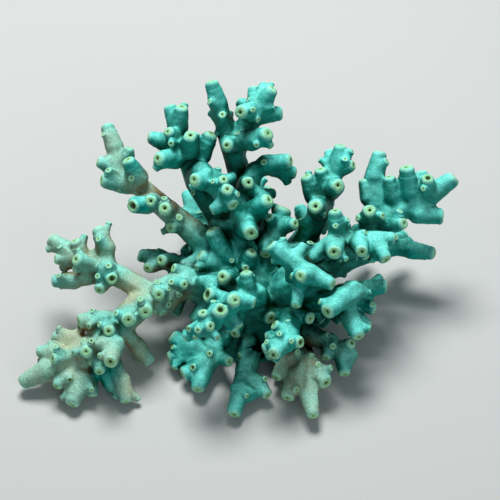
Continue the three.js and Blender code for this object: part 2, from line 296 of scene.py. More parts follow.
def shell_window(points, triangles):
    """Distances to one closed shell, in the block of cells round it, and the block's first cell."""
    level = vdb.FloatGrid.createLevelSetFromPolygons(
        points.astype(np.float32),
        triangles=triangles.astype(np.uint32),
        transform=vdb.createLinearTransform(CELL),
        halfWidth=BAND,
    )
    start = np.maximum(np.floor(points.min(axis=0) / CELL).astype(int) - BAND, grid_low)
    stop = np.minimum(np.ceil(points.max(axis=0) / CELL).astype(int) + BAND, grid_high)
    window = np.empty(stop - start, np.float32)
    level.copyToArray(window, ijk=tuple(int(i) for i in start))
    return start, window


for number, (points, triangles) in enumerate(shells):
    start, window = shell_window(points, triangles)
    place = window_slices(start, window.shape)
    nearer = window < field[place]
    field[place][nearer] = window[nearer]
    owner[place][nearer] = number


def blended(volume, cell, share):
    """A volume's values inside cells: the eight corners, each weighted by how near the place is to it."""
    total = np.zeros(len(cell))
    for corner in np.ndindex(2, 2, 2):
        weight = np.prod(np.where(corner, share, 1 - share), axis=1)
        total += weight * volume[tuple((cell + corner).T)]
    return total


def sample(volume, points, coarse=1):
    """A volume's values at points. A coarse volume's cells are that many times wider."""
    spot = (points / CELL - grid_low) / coarse
    cell = np.clip(np.floor(spot).astype(int), 0, np.array(volume.shape) - 2)
    return blended(volume, cell, np.clip(spot - cell, 0, 1))


print("cells:", field.shape, "inside:", int((field < 0).sum()))

# %% [markdown]
# A flat end with another limb's limestone right in front of it is a saw cut. The others are finger tips.
# Each saw cut gets a short plug across it, so that the two pieces grow together again.

# %% Tell tips from saw cuts
LOOK_AHEAD = 0.45  # length of a step in front of an end, in millimetres
STONE_AHEAD = 0.1  # one step ahead of a saw cut there is less free distance than this
OPEN_AHEAD = 0.5  # three steps ahead of a tip there is more than this
WIDEST_TIP = 2.8  # a wider free patch is a flat side of a limb, not a finger's end

ahead = sample(field, ends[:, :3] + ends[:, 3:6] * LOOK_AHEAD)
further = sample(field, ends[:, :3] + ends[:, 3:6] * 3 * LOOK_AHEAD)
tips = ends[(ahead > STONE_AHEAD) & (further > OPEN_AHEAD) & (ends[:, 6] < WIDEST_TIP)]
cuts = ends[ahead <= STONE_AHEAD]
print("tips:", len(tips), "saw cut faces:", len(cuts), "for", len(names) - 1, "cuts")

# %% [markdown]
# ## Buds between the fingers
# Three kinds of younger mouths fill the spaces. Short fingers crowd the foot and the undersides, satellites
# stand in a loose ring just below many finger tips, and buds are scattered on the limbs. All are placed by
# chance, never where there is no room, and never closer to a neighbour than real ones grow.

# %% Find room for younger mouths
TRIES = 9000  # candidates drawn for each kind
ROOM_ROUND = 0.45  # free distance that a mouth needs round its middle, in radii
ROOM_AHEAD = 0.8  # free distance that it needs in front
WALL = 1.6  # how far a mouth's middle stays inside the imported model's box
BESIDE = 0.72  # a mouth may be this share of the spacing from another's side


def unit(vectors):
    """Vectors made one long."""
    return vectors / np.maximum(np.linalg.norm(vectors, axis=-1, keepdims=True), 1e-9)


def random_surface_points(count):
    """Points spread evenly over all the shells' area, with the outward direction at each."""
    corners = np.concatenate([points[triangles] for points, triangles in shells])
    normal = np.cross(corners[:, 1] - corners[:, 0], corners[:, 2] - corners[:, 0])
    area = np.linalg.norm(normal, axis=1)
    chosen = rng.choice(len(corners), count, p=area / area.sum())
    a, b = np.sort(rng.random((2, count)), axis=0)
    picked = corners[chosen]
    points = picked[:, 0] * a[:, None] + picked[:, 1] * (b - a)[:, None] + picked[:, 2] * (1 - b)[:, None]
    return points, unit(normal[chosen])


def settle(feet, axis, length, radius, room, spacing, most, taken):
    """Keep the candidates that have room, one after another: rows of mouth, axis, radius and foot."""
    mouth = feet + axis * length[:, None]
    free = sample(field, mouth) > ROOM_ROUND * radius
    free &= sample(field, mouth + axis * room) > ROOM_AHEAD
    free &= sample(field, mouth + axis * room * 2) > ROOM_AHEAD
    free &= ((mouth > cad_low / MM + WALL) & (mouth < cad_high / MM - WALL)).all(axis=1)
    kept = []
    for i in np.flatnonzero(free):
        share = np.clip((taken - feet[i]) @ axis[i] / length[i], 0, 1)[:, None]
        beside = np.linalg.norm(taken - feet[i] - axis[i] * length[i] * share, axis=1).min()
        if beside > BESIDE * spacing and np.linalg.norm(taken - mouth[i], axis=1).min() > spacing:
            kept.append(i)
            taken = np.vstack([taken, mouth[i]])
            if len(kept) == most:
                break
    return np.column_stack([mouth, axis, radius, feet])[kept], taken


print("candidates of each kind:", TRIES)

# %% [markdown]
# Undergrowth and buds stand on the sides of limbs, each with a direction between straight out from its limb
# and away from the colony's heart. Satellites stand round a finger and lean out from it. Satellites settle
# first, because they have the least choice of place.

# %% Place satellites, undergrowth and buds
# kind: how many, length, radius, room in front, spacing between mouths, lowest foot (all in millimetres)
UNDERGROWTH = (60, (4.0, 7.5), (1.45, 1.95), 1.5, 4.4, 2.5)
BUDS = (115, (0.9, 2.9), (0.8, 1.25), 1.1, 3.3, 4.0)
MOST_SATELLITES = 3  # round one finger
SATELLITE_ROOM, SATELLITE_SPACING = 1.0, 2.7
CROWDED_CHANCE, PLAIN_CHANCE = 0.8, 0.3  # of each satellite, on a crowded limb and on any other
INWARD = 2  # millimetres from a mouth back into its own limb
CROWDED_LIMBS = ("left_front_arm", "left_mid_arm", "front_left_arm", "front_mid_arm", "heart_arm")
HEART = np.array([0.0, 3.0, 10.0])  # the place that all limbs grow away from, in millimetres
FOOT_REACH = 22.0  # undergrowth stays this close to the colony's axis
TIP_CLEARANCE = 3.6  # how far a bud's foot stays from a finger's tip
STRAIGHT_OUT, LEAN_LOW, LEAN = 0.8, 0.35, 0.62  # shares that make up a younger mouth's direction
LEVEL = 0.5  # undergrowth doesn't point further up than this share
SUNK = 0.8  # how far a younger mouth's foot lies under its limb's surface


def scattered(kind, low_down, taken):
    """Younger mouths on the limbs' sides. Each leans from its limb towards the open water."""
    most, length, radius, room, spacing, lowest = kind
    feet, outward = random_surface_points(TRIES)
    away = unit(feet - HEART)
    along = unit(away - (away * outward).sum(axis=1, keepdims=True) * outward)
    axis = unit(outward * STRAIGHT_OUT + along * (LEAN_LOW if low_down else LEAN))
    chosen = feet[:, 2] > lowest
    if low_down:
        chosen &= (np.hypot(feet[:, 0], feet[:, 1]) < FOOT_REACH) & (axis[:, 2] < LEVEL)
    else:
        nearest = np.min([np.linalg.norm(feet - tip[:3], axis=1) for tip in tips], axis=0)
        chosen &= nearest > TIP_CLEARANCE
    feet, axis = feet[chosen], axis[chosen]
    length, radius = rng.uniform(*length, len(feet)), rng.uniform(*radius, len(feet))
    return settle(feet - axis * SUNK, axis, length, radius, room, spacing, most, taken)


def side_axes(axis):
    """Two directions square to each axis and to each other."""
    helper = np.where(np.abs(axis[:, 2:3]) < 0.8, [[0.0, 0.0, 1.0]], [[1.0, 0.0, 0.0]])
    one = unit(np.cross(helper, axis))
    return one, np.cross(axis, one)


def limb_at(points):
    """The number of the limb that owns the cell at each point."""
    return owner[tuple((np.round(points / CELL).astype(int) - grid_low).T)]


def satellites(taken):
    """Up to three small mouths round each finger, just under its rim, leaning out from it."""
    numbers = [names.index(name) for name in CROWDED_LIMBS]
    crowded = np.isin(limb_at(tips[:, :3] - tips[:, 3:6] * INWARD), numbers)
    chance = np.repeat(np.where(crowded, CROWDED_CHANCE, PLAIN_CHANCE), MOST_SATELLITES)
    rows = np.repeat(tips, MOST_SATELLITES, axis=0)[rng.random(len(chance)) < chance]
    place, finger, width = rows[:, :3], rows[:, 3:6], rows[:, 6:7]
    one, two = side_axes(finger)
    turn = rng.uniform(0, 2 * math.pi, len(rows))[:, None]
    out = one * np.cos(turn) + two * np.sin(turn)
    depth = rng.uniform(2.4, 5.0, len(rows))[:, None]
    feet = place - finger * depth + out * width * 0.7
    axis = unit(finger * 0.72 + out * 0.80)
    length = rng.uniform(2.3, 3.5, len(rows))
    radius = rng.uniform(0.85, 1.2, len(rows))
    return settle(feet, axis, length, radius, SATELLITE_ROOM, SATELLITE_SPACING, len(rows), taken)


satellite_rows, taken = satellites(tips[:, :3])
undergrowth_rows, taken = scattered(UNDERGROWTH, True, taken)
bud_rows, taken = scattered(BUDS, False, taken)
young = np.concatenate([satellite_rows, undergrowth_rows, bud_rows])
buds, bud_roots = young[:, :7], young[:, 7:]
print("satellites:", len(satellite_rows), "undergrowth:", len(undergrowth_rows), "buds:", len(bud_rows))

# %% [markdown]
# ## Joining and rounding
# Each tip gets a round sleeve, because its faceted rod has flat sides. Buds join with a soft minimum, which
# leaves a fillet where a bud meets its limb. A blur of the whole volume then rounds every web and corner, as
# the living skin does when it lays down limestone. A blur makes thin shapes thinner, so the final surface is
# taken a little way outside zero.

# %% Add sleeves, plugs and buds, then blur
WEB = 0.9  # width of the soft join round a bud
PLUG_HALF = 0.7  # half of a plug's thickness, which crosses the saw cut
BLUR = 0.5  # spread of the blur, in millimetres
GROWTH = 0.12  # how far outside zero the surface is taken
PLUG_WIDTH = 0.95  # a plug's radius, as a share of its saw cut's
SLEEVE_LENGTH, SLEEVE_FLARE = 3.4, 1.28  # of a tip's sleeve and its lower end, in radii of the tip
BUD_STOP, BUD_FLARE = 0.8, 1.3  # where a bud's cone stops under its mouth, and its foot's radius, in radii


def window_cells(low, high):
    """The block of cells between two corners: its first cell, and the place of every cell."""
    start = np.maximum(np.floor(low / CELL).astype(int), grid_low)
    stop = np.minimum(np.ceil(high / CELL).astype(int), grid_high)
    axes = [np.arange(a, b) * CELL for a, b in zip(start, stop)]
    return start, np.stack(np.meshgrid(*axes, indexing="ij"), axis=-1)


def cone_window(start_point, end_point, start_radius, end_radius):
    """Distances to a round-ended cone: the distance to its axis less the radius there."""
    margin = max(start_radius, end_radius) + REACH
    both = (start_point, end_point)
    start, cells = window_cells(np.minimum(*both) - margin, np.maximum(*both) + margin)
    along = end_point - start_point
    share = np.clip(((cells - start_point) @ along) / (along @ along), 0, 1)
    nearest = start_point + share[..., None] * along
    radius = start_radius + (end_radius - start_radius) * share
    return start, (np.linalg.norm(cells - nearest, axis=-1) - radius).astype(np.float32)


def disc_window(centre, axis, radius):
    """Distances to a flat disc: the greater of the distance past its rim and the height past its faces."""
    start, cells = window_cells(centre - radius - REACH, centre + radius + REACH)
    offset = cells - centre
    height = offset @ axis
    away = np.sqrt(np.maximum((offset * offset).sum(axis=-1) - height * height, 0))
    return start, np.maximum(away - radius, np.abs(height) - PLUG_HALF).astype(np.float32)


def join(window_start, window, softness=0.0):
    """Add a shape to the volume. A softness above zero rounds the corner between them by that width."""
    place = window_slices(window_start, window.shape)
    old = field[place]
    joined = np.minimum(old, window)
    if softness > 0:
        blend = np.clip(softness - np.abs(old - window), 0, None) / softness
        joined -= blend * blend * softness / 4
    field[place] = joined


def blurred(volume, spread):
    """A volume averaged with its neighbours by a bell curve along each axis in turn."""
    reach = int(math.ceil(3 * spread))
    bell = np.exp(-0.5 * (np.arange(-reach, reach + 1) / spread) ** 2)
    bell = (bell / bell.sum()).astype(np.float32)
    for axis in range(3):
        padded = np.pad(volume, [(reach, reach) if a == axis else (0, 0) for a in range(3)], mode="edge")
        total = np.zeros_like(volume)
        for i, weight in enumerate(bell):
            part = [slice(None)] * 3
            part[axis] = slice(i, i + volume.shape[axis])
            total += weight * padded[tuple(part)]
        volume = total
    return volume


for end in cuts:
    join(*disc_window(end[:3], end[3:6], end[6] * PLUG_WIDTH))
for tip in tips:
    centre, axis, radius = tip[:3], tip[3:6], tip[6]
    foot = centre - axis * SLEEVE_LENGTH * radius
    join(*cone_window(foot, centre - axis * radius, radius * SLEEVE_FLARE, radius))
for bud, root in zip(buds, bud_roots):
    centre, axis, radius = bud[:3], bud[3:6], bud[6]
    end = centre - axis * radius * BUD_STOP
    join(*cone_window(root, end, radius * BUD_FLARE, radius), softness=WEB)
field = blurred(field, BLUR / CELL)
level = vdb.FloatGrid(REACH)
level.transform = vdb.createLinearTransform(CELL)
level.copyFromArray(field, ijk=tuple(int(i) for i in grid_low))
body_points, body_faces = level.convertToQuads(GROWTH)
body_points = body_points.astype(float)
body_faces = body_faces.astype(np.int64)
print("surface:", len(body_points), "points", len(body_faces), "faces")

# %% [markdown]
# Cells near the limits can leave a sealed bubble inside the limestone. Only the largest connected surface is
# the real outside, so the rest is dropped.

# %% Keep the outer surface
def kept_points(points, faces, keep):
    """The mesh that is left when only some faces stay, with unused points removed."""
    faces = faces[keep]
    used = np.unique(faces)
    renumber = np.zeros(len(points), np.int64)
    renumber[used] = np.arange(len(used))
    return points[used], renumber[faces]


def largest_surface(points, faces):
    """The biggest connected part of a mesh."""
    label = spread_labels(len(points), edge_table(faces)[0])
    values, counts = np.unique(label, return_counts=True)
    return kept_points(points, faces, label[faces[:, 0]] == values[counts.argmax()])


def mesh_volume(points, quads):
    """Volume inside a closed mesh: each face's pyramid down to the origin, added up with its sign."""
    a, b, c, d = (points[quads[:, i]] for i in range(4))
    return ((a * np.cross(b, c)).sum() + (a * np.cross(c, d)).sum()) / 6


body_points, body_faces = largest_surface(body_points, body_faces)
print("body:", len(body_points), "points,", round(mesh_volume(body_points, body_faces)), "mm3")

# %% [markdown]
# ## Lumps in the limestone
# A real limb is never smooth. Low lumps a millimetre or two across, and finer ones on top, are pushed out
# along the surface. The height is smooth random noise: chance values on a lattice, blended between its
# corners, so that the same place always gets the same height.

# %% Push lumps out
LUMPS = ((2.6, 0.10, 11), (1.2, 0.055, 12), (0.62, 0.03, 13))  # size, height and seed of each


def lattice_noise(points, size, seed):
    """Smooth noise from -1 to 1: chance values on a cubic lattice, blended by smooth steps."""
    lattice = np.ceil(np.array(field.shape) * CELL / size).astype(int) + 2
    spot = (points - grid_low * CELL) / size
    cell = np.floor(spot).astype(int)
    share = spot - cell
    chance = np.random.default_rng(seed).uniform(-1, 1, lattice)
    return blended(chance, cell, share * share * (3 - 2 * share))


def relief(points):
    """Height of the lumps at points."""
    return sum(height * lattice_noise(points, size, seed) for size, height, seed in LUMPS)


def point_normals(points, faces):
    """Outward direction at each point: the sum of its faces' area directions."""
    across = points[faces[:, 2]] - points[faces[:, 0]]
    other = points[faces[:, -1]] - points[faces[:, 1]]
    area = np.cross(across, other)
    total = np.zeros_like(points)
    for corner in range(faces.shape[1]):
        for axis in range(3):
            total[:, axis] += np.bincount(faces[:, corner], area[:, axis], len(points))
    return unit(total)


lumps = relief(body_points)
body_points += point_normals(body_points, body_faces) * lumps[:, None]
print("lumps in mm, from", round(lumps.min(), 2), "to", round(lumps.max(), 2))

# %% [markdown]
# ## Mouths
# Every finger ends in a mouth: a round-shouldered rim, a faintly hollow disc, a fine ring and a small pit,
# painted dark as shade, where the polyp sits. A mouth is a profile turned round its finger's axis, so it's a
# function of how far along the profile and of the angle. The profile's lowest rows aren't round: they take
# the body's own radius at each angle, found in the volume, so that the mouth grows out of the finger with
# no step.

# %% Describe every mouth
mouths = np.concatenate([tips, buds])
mouth_centre, mouth_axis, mouth_radius = mouths[:, :3], mouths[:, 3:6], mouths[:, 6]
COUNT = len(mouths)
side_one, side_two = side_axes(mouth_axis)
mouth_owner = limb_at(mouth_centre - mouth_axis * INWARD)
is_tip = np.arange(COUNT) < len(tips)
OPEN_CUPS = 0.13  # share of mouths whose pit stands wide open
DISC_WIDTH = 0.19  # the disc is at least this wide between pit and crest
YOUNG_SHOULDER = 0.66  # a younger mouth's shoulder is this much lower

# All of these are in radii of the mouth.
pit_share = rng.uniform(0.12, 0.21, COUNT)  # radius of the pit
open_cup = rng.random(COUNT) < OPEN_CUPS
pit_share[open_cup] = rng.uniform(0.32, 0.46, open_cup.sum())
crest_share = rng.uniform(0.36, 0.50, COUNT)  # radius of the highest ring
crest_share = np.maximum(crest_share, pit_share + DISC_WIDTH)
shoulder = rng.uniform(0.58, 0.90, COUNT) * np.where(is_tip, 1, YOUNG_SHOULDER)  # height of the round part
skirt_height = np.where(is_tip, -1.46, -0.95)  # of the row that meets the body
ring_groove = np.clip(rng.normal(0.0, 0.03, COUNT), 0, 0.06)  # depth of the groove under the shoulder
pit_offset = rng.normal(0, 0.05, (COUNT, 2))  # how far the pit sits off the middle
rim_wave = rng.normal(0, 0.022, (3, COUNT))  # height of two, three and four waves round the rim
rim_phase = rng.uniform(0, 2 * math.pi, (3, COUNT))
tilt = rng.normal(0, 0.06, (COUNT, 2))  # lean of the rim's plane
print("mouths:", COUNT, "wide open:", int(open_cup.sum()))

# %% [markdown]
# The body's own blunt end has to make way for the mouth. Points of the body round each tip are drawn in just
# under the mouth's rounded profile, and right down under its pit, where they can't be seen.

# %% Draw the blunt ends in
UNDER = 0.28  # how far the body's end stays under the mouth's surface, in millimetres
DRAWN = 0.87  # share of the mouth's radius that the body's end keeps
HOLLOW = -0.62  # height of the body's end under the pit, in radii
CORE_RISE = 0.08  # how far above the skirt the hidden end stops, in radii
HOLLOW_MARGIN = 0.08  # how far the deep part reaches past the pit, in radii
TOP_SHARE, TOP_SLACK = 0.15, 0.35  # drawn in up to this height: a share of the radius plus millimetres
SIDE_SHARE, SIDE_SLACK = 1.13, 0.14  # and out to this distance from the axis
INWARD_FACING = -0.3  # a point that faces the axis more than this belongs to a neighbour
DOWNWARD_FACING = -0.35  # and so does one that faces down more than this
UPWARD_FACING = 0.6  # a point that faces up this much is the blunt end itself

by_x = np.argsort(body_points[:, 0])
sorted_x = body_points[by_x, 0]
body_normals = point_normals(body_points, body_faces)


def draw_in(k):
    """Move the body's points near mouth k to the hidden core under it, and count them."""
    centre, axis, radius = mouth_centre[k], mouth_axis[k], mouth_radius[k]
    first, last = np.searchsorted(sorted_x, (centre[0] - 2 * radius, centre[0] + 2 * radius))
    members = by_x[first:last]
    offset = body_points[members] - centre
    height = offset @ axis
    across = offset - height[:, None] * axis
    away = np.linalg.norm(across, axis=1)
    floor_height = (skirt_height[k] + CORE_RISE) * radius
    near = (height > floor_height) & (height < TOP_SHARE * radius + TOP_SLACK)
    near &= away < SIDE_SHARE * radius + SIDE_SLACK
    up_share = body_normals[members] @ axis
    facing = (body_normals[members] * across).sum(axis=1) > INWARD_FACING * away
    near &= (facing & (up_share > DOWNWARD_FACING)) | (up_share > UPWARD_FACING)
    members, height, across, away = members[near], height[near], across[near], away[near]
    drawn = np.minimum(away, DRAWN * radius)
    outwards = np.clip((drawn / radius - crest_share[k]) / (1 - crest_share[k]), 0, 1)
    dome = -shoulder[k] * (1 - np.sqrt(1 - outwards**2)) * radius - UNDER
    hollow = drawn < (pit_share[k] + HOLLOW_MARGIN) * radius
    height = np.minimum(height, np.where(hollow, HOLLOW * radius, dome))
    closer = (drawn / np.maximum(away, 1e-6))[:, None]
    body_points[members] = centre + height[:, None] * axis + across * closer
    return len(members)


print("points drawn in:", sum(draw_in(k) for k in range(COUNT)))

# %% [markdown]
# Now the profile is turned. From below, its rows are: two hidden under the body's surface, the skirt that
# meets it, a few that pass from the body's outline to a circle, the round shoulder, the disc with its fine
# ring, and the pit. All mouths are turned at once, as one array of mouths, rows and columns, so no loop
# visits a point.

# %% Turn the mouths' surfaces
SKIRT_PROUD = 0.03  # how far the skirt stands off the body, in millimetres
TUCK = 0.16  # how far the row below the skirt dips under the body's surface
HIDDEN_ROWS = 2  # rows under the body's surface
NARROWEST_SKIRT = 0.75  # in radii, like the widest
widest_skirt = np.where(is_tip, 1.32, 1.5)[:, None]
SEARCH_STEPS = 5  # of the search for the body's radius
ROUNDING = ((0.88, 0.15), (0.77, 0.45))  # rows above the skirt: share of its height, share of the circle
SHOULDER_TURNS = np.radians([6, 22, 39, 56, 73, 90])
# Rows of the disc: distance out from the pit, depth, and height of the ribs, in radii.
DISC_ROWS = ((0.15, 0.035, 0.012), (0.09, 0.075, 0.01), (0.045, 0.05, 0.006), (0.0, 0.11, 0.0))
PIT_ROWS = ((0.80, -0.30), (0.50, -0.46))  # share of the pit's radius, and height
RIBS = 6  # round each disc


def body_radius(angle_directions):
    """The body's radius at each mouth's skirt, at each angle, read from the volume."""
    size = mouth_radius[:, None]
    base = mouth_centre + mouth_axis * skirt_height[:, None] * size
    radius = np.repeat(size * 1.05, angle_directions.shape[1], axis=1)
    for _ in range(SEARCH_STEPS):
        points = base[:, None] + angle_directions * radius[..., None]
        miss = sample(field, points.reshape(-1, 3)).reshape(radius.shape) - GROWTH
        radius = np.clip(radius - miss, NARROWEST_SKIRT * size, widest_skirt * size)
    points = base[:, None] + angle_directions * radius[..., None]
    return radius + relief(points.reshape(-1, 3)).reshape(radius.shape)


def mouth_surfaces(chosen, around):
    """Grids of points for some mouths: rows along the profile, columns round the axis."""
    angle = np.linspace(0, 2 * math.pi, around, endpoint=False)
    cosine, sine = np.cos(angle)[None, :, None], np.sin(angle)[None, :, None]
    direction = side_one[:, None] * cosine + side_two[:, None] * sine
    skirt = body_radius(direction) + SKIRT_PROUD
    size = mouth_radius[:, None]
    wobble = 1 + sum(
        rim_wave[i][:, None] * np.cos((i + 2) * angle[None] + rim_phase[i][:, None]) for i in range(3)
    )
    ribs = np.cos(RIBS * angle)[None]
    pit, crest, high = pit_share[:, None], crest_share[:, None], shoulder[:, None]
    low = skirt_height[:, None]
    rows = [(skirt * 0.75, low * 1.3), (skirt - TUCK, low * 1.13), (skirt, low)]
    for height, share in ROUNDING:
        rows.append((skirt * (1 - share) + size * wobble * share, low * height))
    rows.append((skirt * 0.2 + size * wobble * (0.8 - ring_groove[:, None]), low * 0.69))
    for turn in SHOULDER_TURNS:
        radius = crest + (0.99 - crest) * math.cos(turn)
        rows.append((size * wobble * radius, -high * (1 - math.sin(turn))))
    for out, depth, rib in DISC_ROWS:
        rows.append((size * (pit + out), -depth + rib * ribs))
    for share, height in PIT_ROWS:
        rows.append((size * pit * share, height))
    radius = np.stack([np.broadcast_to(row[0], skirt.shape) for row in rows], axis=1)
    height = np.stack([np.broadcast_to(row[1], skirt.shape) for row in rows], axis=1)
    inner = np.clip((0.75 - radius / size[:, None]) / 0.4, 0, 1) * (height > -0.7)
    shift = (pit_offset[:, :1] * side_one + pit_offset[:, 1:] * side_two)[:, None, None]
    points = mouth_centre[:, None, None] + direction[:, None] * radius[..., None]
    lean = (tilt[:, 0, None] * np.cos(angle) + tilt[:, 1, None] * np.sin(angle))[:, None]
    lift = height * size[:, None] + lean * radius * np.clip(1.2 * (1 + height), 0, 1)
    points += mouth_axis[:, None, None] * lift[..., None]
    points += shift * (inner * size[:, None])[..., None]
    return points[chosen]


BIG_ROUND, SMALL_ROUND = 24, 14  # columns round a tip and round a younger mouth
big_grids = mouth_surfaces(is_tip, BIG_ROUND)
small_grids = mouth_surfaces(~is_tip, SMALL_ROUND)
print("mouths, rows, columns and axes:", big_grids.shape, small_grids.shape)

# %% [markdown]
# Each grid of points becomes a closed skin: quads between neighbours, round the axis and back to the first
# column, and a fan of triangles at either end.

# %% Close the mouths' grids
def closed_grid_faces(rows, around):
    """Faces of one grid that closes round its axis, with a pole at each end, as triangles and quads."""
    i, j = np.meshgrid(np.arange(rows - 1), np.arange(around), indexing="ij")
    after = (j + 1) % around
    here, above = i * around, (i + 1) * around
    quads = np.stack([here + j, here + after, above + after, above + j], axis=-1)
    column = np.arange(around)
    first_pole, last_pole = rows * around, rows * around + 1
    bottom = np.stack([np.roll(column, -1), column, np.full(around, first_pole)], axis=1)
    top = (rows - 1) * around
    end = np.stack([top + column, top + np.roll(column, -1), np.full(around, last_pole)], axis=1)
    return quads.reshape(-1, 4), np.concatenate([bottom, end])


def mouth_points(grid, k):
    """One mouth's points: its grid, then the two poles."""
    foot = mouth_centre[k] + mouth_axis[k] * skirt_height[k] * 1.3 * mouth_radius[k]
    return np.vstack([grid.reshape(-1, 3), foot, grid[-1].mean(axis=0)])


ROWS = big_grids.shape[1]
big_faces = closed_grid_faces(ROWS, BIG_ROUND)
small_faces = closed_grid_faces(ROWS, SMALL_ROUND)
print("faces of a tip's mouth:", sum(len(faces) for faces in big_faces))

# %% [markdown]
# ## Back to separate limbs
# The body grew as one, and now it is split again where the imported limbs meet, so that each limb is a piece
# of its own that stands for its own node. Each face goes to the limb whose rod is nearest. The open edge
# that the split leaves is closed with a fan to its middle, inside the limestone.

# %% Split the body by limb
spot = np.clip(np.round(body_points / CELL).astype(int) - grid_low, 0, np.array(owner.shape) - 1)
point_owner = owner[tuple(spot.T)].astype(np.int64)
corner_owner = point_owner[body_faces]
face_owner = np.median(corner_owner, axis=1).astype(np.int64)
agreed = (corner_owner == face_owner[:, None]).any(axis=1)
face_owner = np.where(agreed, face_owner, corner_owner[:, 0])


def rim_fans(points, faces):
    """Fans that close each open edge of a mesh: a middle point for each loop, and the triangles."""
    edges = np.stack([faces, np.roll(faces, -1, axis=1)], axis=2).reshape(-1, 2)
    key = np.sort(edges, axis=1)
    _, inverse, counts = np.unique(key, axis=0, return_inverse=True, return_counts=True)
    rim = edges[counts[inverse.reshape(-1)] == 1]
    if len(rim) == 0:
        return np.empty((0, 3)), np.empty((0, 3), np.int64)
    label = spread_labels(len(points), rim)
    loops, loop_of = np.unique(label[rim[:, 0]], return_inverse=True)
    loop_of = loop_of.reshape(-1)
    middle = np.stack([np.bincount(loop_of, points[rim[:, 0], a]) for a in range(3)], axis=1)
    middle /= np.bincount(loop_of)[:, None]
    fan = np.stack([rim[:, 1], rim[:, 0], len(points) + loop_of], axis=1)
    return middle, fan


print("faces of the smallest and the largest limb:", np.sort(np.bincount(face_owner))[[0, -1]])

# %% [markdown]
# ## What the skin needs to know
# The skin's colour follows its place: yellow-green round each mouth, painted shade in the pits, a painted
# top light where the limb faces the light from above, and a painted shade, deep green, where the limbs crowd
# together. Each of these is a number worked out per point and kept on the mesh, where the material can read
# it. Openness is the share of straight ways out from a point that no limb blocks: a few dozen directions are
# walked through the volume in growing steps. The less open a point, the more painted shade it gets.

# %% Work out the openness of each point
WAYS = 40
WALK = (1.0, 2.2, 3.6, 5.2, 7.2, 9.8, 13.0, 17.0, 22.0)  # distances along each way, in millimetres
STAND_OFF = 0.7  # the walk starts this far above the surface
GRAZING = 0.1  # ways flatter than this share of straight out aren't walked


def ways_out():
    """Directions spread evenly over a sphere: equal steps of height, turned by the golden angle."""
    number = np.arange(WAYS) + 0.5
    height = 1 - 2 * number / WAYS
    turn = number * math.pi * (3 - math.sqrt(5))
    ring = np.sqrt(1 - height * height)
    return np.stack([ring * np.cos(turn), ring * np.sin(turn), height], axis=1)


def inside_stone(points):
    """True where the nearest cell is limestone. Outside the volume nothing is."""
    spot = np.round(points / CELL).astype(np.int32) - grid_low
    held = ((spot >= 0) & (spot < field.shape)).all(axis=1)
    spot = np.where(held[:, None], spot, 0)
    return held & (field[spot[:, 0], spot[:, 1], spot[:, 2]] < 0)


def openness(points, normals):
    """Share of the ways out that nothing blocks, each weighted by how straight out it goes."""
    free, total = np.zeros(len(points)), np.zeros(len(points))
    start = points + normals * STAND_OFF
    for way in ways_out():
        straight = normals @ way
        member = np.flatnonzero(straight > GRAZING)
        total[member] += straight[member]
        for step in WALK:
            member = member[~inside_stone(start[member] + way * step)]
        free[member] += straight[member]
    return free / np.maximum(total, 1e-6)


# Openness sets the painted shade of crowded places and dims the painted top light.
body_open = openness(body_points, body_normals)
print("openness:", np.round(np.percentile(body_open, [1, 25, 50, 75, 99]), 2))

# %% [markdown]
# Some limbs have lost their turquoise and turned sandy, with rust brown in the forks, partly real and partly
# painted shade. The loss doesn't stop short at a fork, so it's kept in a coarse volume: every limb's share is
# written into its cells and blurred.
# It fades towards the finger tips, because the tips are the youngest part and keep their colour longest.

# %% Spread the loss of colour
COARSE = 4  # a coarse cell is this many cells wide
LOST_COLOUR = {"left_front_arm": 0.72, "left_mid_arm": 0.75, "left_high_arm": 0.62, "low_front_arm": 0.8}
LOST_COLOUR |= {"left_back_arm": 0.3, "low_right_arm": 0.3}
LOST_ELSEWHERE = 0.06
FADE = 2.6  # spread of the blur, in millimetres
FRESH_END = 5.0  # length of a finger's end over which the colour comes back
TIP_LOSS = 0.3  # share of the loss that is left right at the tip

every = (slice(None, None, COARSE),) * 3
coarse_stone = (field[every] < CELL * COARSE / 2).astype(np.float32)
lost_share = np.array([LOST_COLOUR.get(name, LOST_ELSEWHERE) for name in names], np.float32)[owner[every]]
coarse_places = (np.stack(np.indices(coarse_stone.shape), axis=-1) * COARSE + grid_low) * CELL
tip_distance = np.full(coarse_stone.shape, FRESH_END)
for tip in tips:
    tip_distance = np.minimum(tip_distance, np.linalg.norm(coarse_places - tip[:3], axis=-1))
lost_share *= coarse_stone * (TIP_LOSS + (1 - TIP_LOSS) * tip_distance / FRESH_END)
fade_cells = FADE / (CELL * COARSE)
lost_colour = blurred(lost_share, fade_cells) / np.maximum(blurred(coarse_stone, fade_cells), 0.01)
print("coarse cells:", lost_colour.shape, "greatest loss:", round(float(lost_colour.max()), 2))

# %% [markdown]
# ## The skin
# One finish covers the whole colony. It is a thin living tissue over white limestone, so it is silky rather
# than shiny: a middling roughness, a little sheen, and a fine grain that lifts the surface by a tenth of a
# millimetre. The colour starts as turquoise, mottled by noise, and the numbers on the mesh then steer it one
# after another. Noise reads Object coordinates, so the pattern stays on the coral when the coral moves.

# %% Choose the colours
# Linear red, green and blue. The lagoon colours are stops of a ramp over the mottling.
LAGOON = ((0.25, (0.0, 0.19, 0.15)), (0.5, (0.001, 0.30, 0.25)), (0.78, (0.012, 0.42, 0.37)))
# Painted top light: a pale colour laid on the faces that turn up towards the lamp above.
TOP_LIGHT_PAINT = (0.18, 0.82, 0.75, 1)
# Painted shade: a deep green laid where the limbs crowd and little light gets in.
SHADED = (0.0, 0.035, 0.013, 1)
SANDY = (0.46, 0.48, 0.31, 1)
